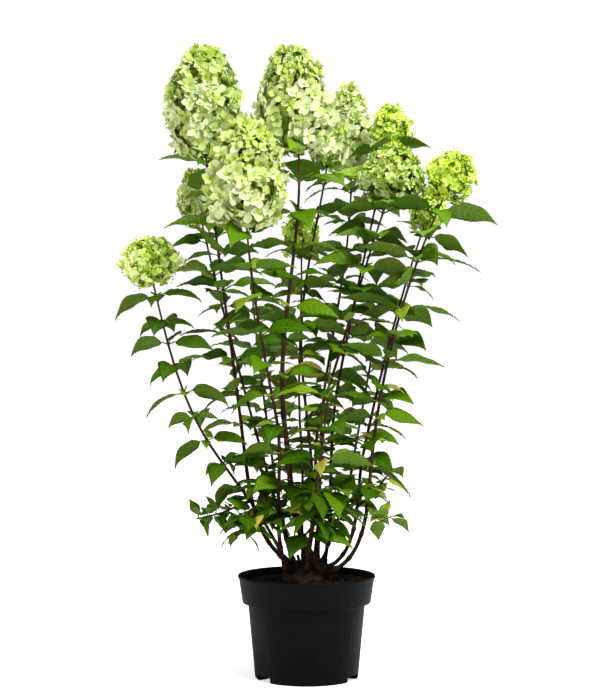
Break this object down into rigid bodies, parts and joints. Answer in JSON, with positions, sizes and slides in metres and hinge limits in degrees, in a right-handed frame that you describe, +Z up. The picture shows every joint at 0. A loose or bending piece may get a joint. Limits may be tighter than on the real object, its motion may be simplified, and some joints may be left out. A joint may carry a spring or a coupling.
{
  "type": "panicle hydrangea shrub in pot",
  "caption": "Tall multi-stemmed panicle hydrangea with cone-shaped cream and lime flower heads over leafy woody canes, in a round black plastic nursery pot.",
  "frame": {"origin": "centre of the pot's flat underside, at the middle of its round pad", "axes": "+Z up along the pot's axis, the plant's front looks along -Y, +X to its right as seen from the front"},
  "size_m": [0.7721, 0.6253, 1.3005],
  "materials": {
    "pot": "fine satin moulded black plastic, paler along the rim",
    "compost": "moist dark bark compost, granular and matt",
    "bark": "maroon-brown young bark with fine ridges and pale specks",
    "foliage": "satin leaf with sunken veins, greyer underneath",
    "cream_blossom": "thin matt petals, cream with lime at the tips",
    "lime_blossom": "thin matt petals and buds, bright lime"
  },
  "bodies": {
    "root": {"bough_back_left": "bark", "bough_back_right": "bark", "bough_far_left": "bark", "bough_far_right": "bark", "bough_front_left": "bark", "bough_front_low": "bark", "bough_front_mid": "bark", "bough_left_low": "bark", "bough_left_tall": "bark", "bough_mid_back": "bark", "bough_mid_tall": "bark", "bough_right_back": "bark", "bough_right_inner": "bark", "bough_right_mid": "bark", "bough_right_tall": "bark", "compost": "compost", "head_back_right": "cream_blossom", "head_behind_centre": "cream_blossom", "head_behind_left": "cream_blossom", "head_far_left": "lime_blossom", "head_far_right": "lime_blossom", "head_front": "cream_blossom", "head_inner": "lime_blossom", "head_right": "cream_blossom", "head_right_buds": "lime_blossom", "head_right_top": "lime_blossom", "head_top_centre": "cream_blossom", "head_top_left": "cream_blossom", "low_back_twig": "foliage", "low_centre_twig": "foliage", "low_front_twig": "foliage", "low_inner_twig": "foliage", "low_left_spray": "foliage", "low_left_sprig": "foliage", "low_left_twig": "foliage", "low_mid_left_twig": "foliage", "low_mid_right_twig": "foliage", "low_right_front": "foliage", "low_right_spray": "foliage", "low_right_twig": "foliage", "pot": "pot", "shoot_back_left": "foliage", "shoot_back_right": "foliage", "shoot_far_left": "foliage", "shoot_far_right": "foliage", "shoot_front_left": "foliage", "shoot_front_low": "foliage", "shoot_front_mid": "foliage", "shoot_left_low": "foliage", "shoot_left_tall": "foliage", "shoot_mid_back": "foliage", "shoot_mid_tall": "foliage", "shoot_right_back": "foliage", "shoot_right_inner": "foliage", "shoot_right_mid": "foliage", "shoot_right_tall": "foliage", "stool": "bark"}
  },
  "joints": []
}
